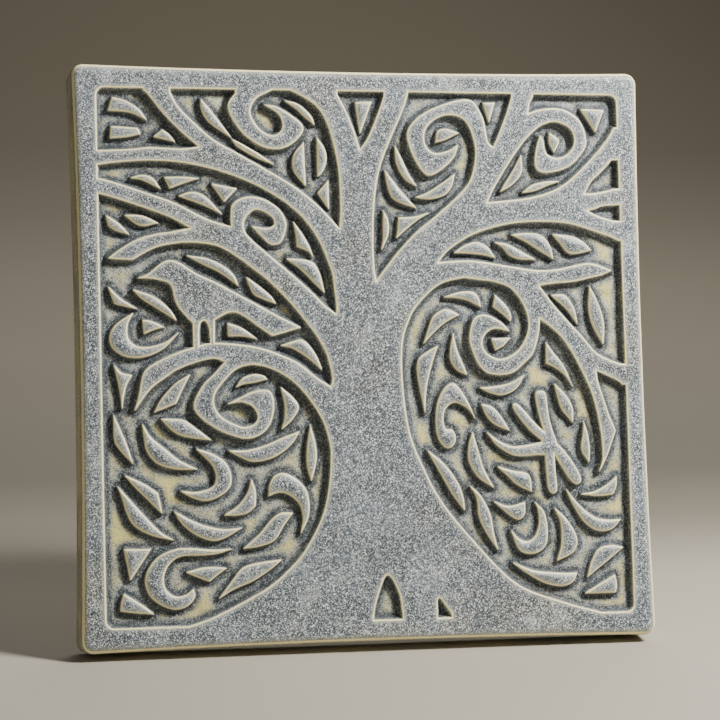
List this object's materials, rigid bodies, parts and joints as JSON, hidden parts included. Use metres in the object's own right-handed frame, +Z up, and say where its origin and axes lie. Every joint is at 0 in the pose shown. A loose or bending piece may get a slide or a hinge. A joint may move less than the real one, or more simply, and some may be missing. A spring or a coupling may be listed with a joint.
{
  "type": "relief tile",
  "caption": "Square glazed clay relief tile with a bordered tree of life, a crow on a branch, a dragonfly, curls and leaves; stands upright on its lower edge.",
  "frame": {"origin": "centre of the tile's rectangle at floor height, midway between its back face and the front of its carving", "axes": "+X to the right as seen from the carved face, +Z up along the tile, carved face looking along -Y"},
  "size_m": [0.152, 0.013, 0.15],
  "materials": {
    "fired_clay": "unglazed cream and tan clay sides and back, glazed yellow and charcoal ground in the hollows",
    "border_glaze": "satin speckled blue-grey glaze breaking cream on the edges",
    "tree_glaze": "satin mottled blue-grey glaze with brown clouds",
    "crow_glaze": "satin speckled grey glaze",
    "glazed_leaf": "satin speckled grey glaze with cream edges"
  },
  "bodies": {
    "root": {"clay_slab": "fired_clay", "border_frame": "border_glaze", "tree": "tree_glaze", "hanging_curl": "tree_glaze", "crow": "crow_glaze", "dragonfly": "crow_glaze", "nest_curl": "glazed_leaf", "meadow_hook": "glazed_leaf", "claw_curl": "glazed_leaf", "root_hook": "glazed_leaf", "shade_hook": "glazed_leaf", "pond_hook": "glazed_leaf", "corner_leaves": "glazed_leaf", "upper_left_curl_leaves": "glazed_leaf", "crown_left_leaves": "glazed_leaf", "crown_leaf": "glazed_leaf", "crown_right_leaves": "glazed_leaf", "top_curl_leaves": "glazed_leaf", "right_curl_leaves": "glazed_leaf", "left_bough_leaves": "glazed_leaf", "inner_curl_leaves": "glazed_leaf", "left_edge_leaves": "glazed_leaf", "crow_back_leaves": "glazed_leaf", "crow_breast_leaves": "glazed_leaf", "crow_tail_leaves": "glazed_leaf", "perch_spike": "glazed_leaf", "perch_leaves": "glazed_leaf", "meadow_leaves": "glazed_leaf", "perch_curl_leaves": "glazed_leaf", "trunk_left_leaves": "glazed_leaf", "grass_blades": "glazed_leaf", "bowl_leaves": "glazed_leaf", "root_left_leaves": "glazed_leaf", "root_hook_buds": "glazed_leaf", "right_bough_leaves": "glazed_leaf", "right_edge_leaves": "glazed_leaf", "shade_curl_leaves": "glazed_leaf", "shade_curl_bud": "glazed_leaf", "trunk_right_leaves": "glazed_leaf", "dragonfly_leaves": "glazed_leaf", "root_right_leaves": "glazed_leaf", "droop_leaves": "glazed_leaf", "pond_leaves": "glazed_leaf", "pond_cup": "glazed_leaf", "reed_leaves": "glazed_leaf", "corner_right_leaves": "glazed_leaf"}
  },
  "joints": []
}
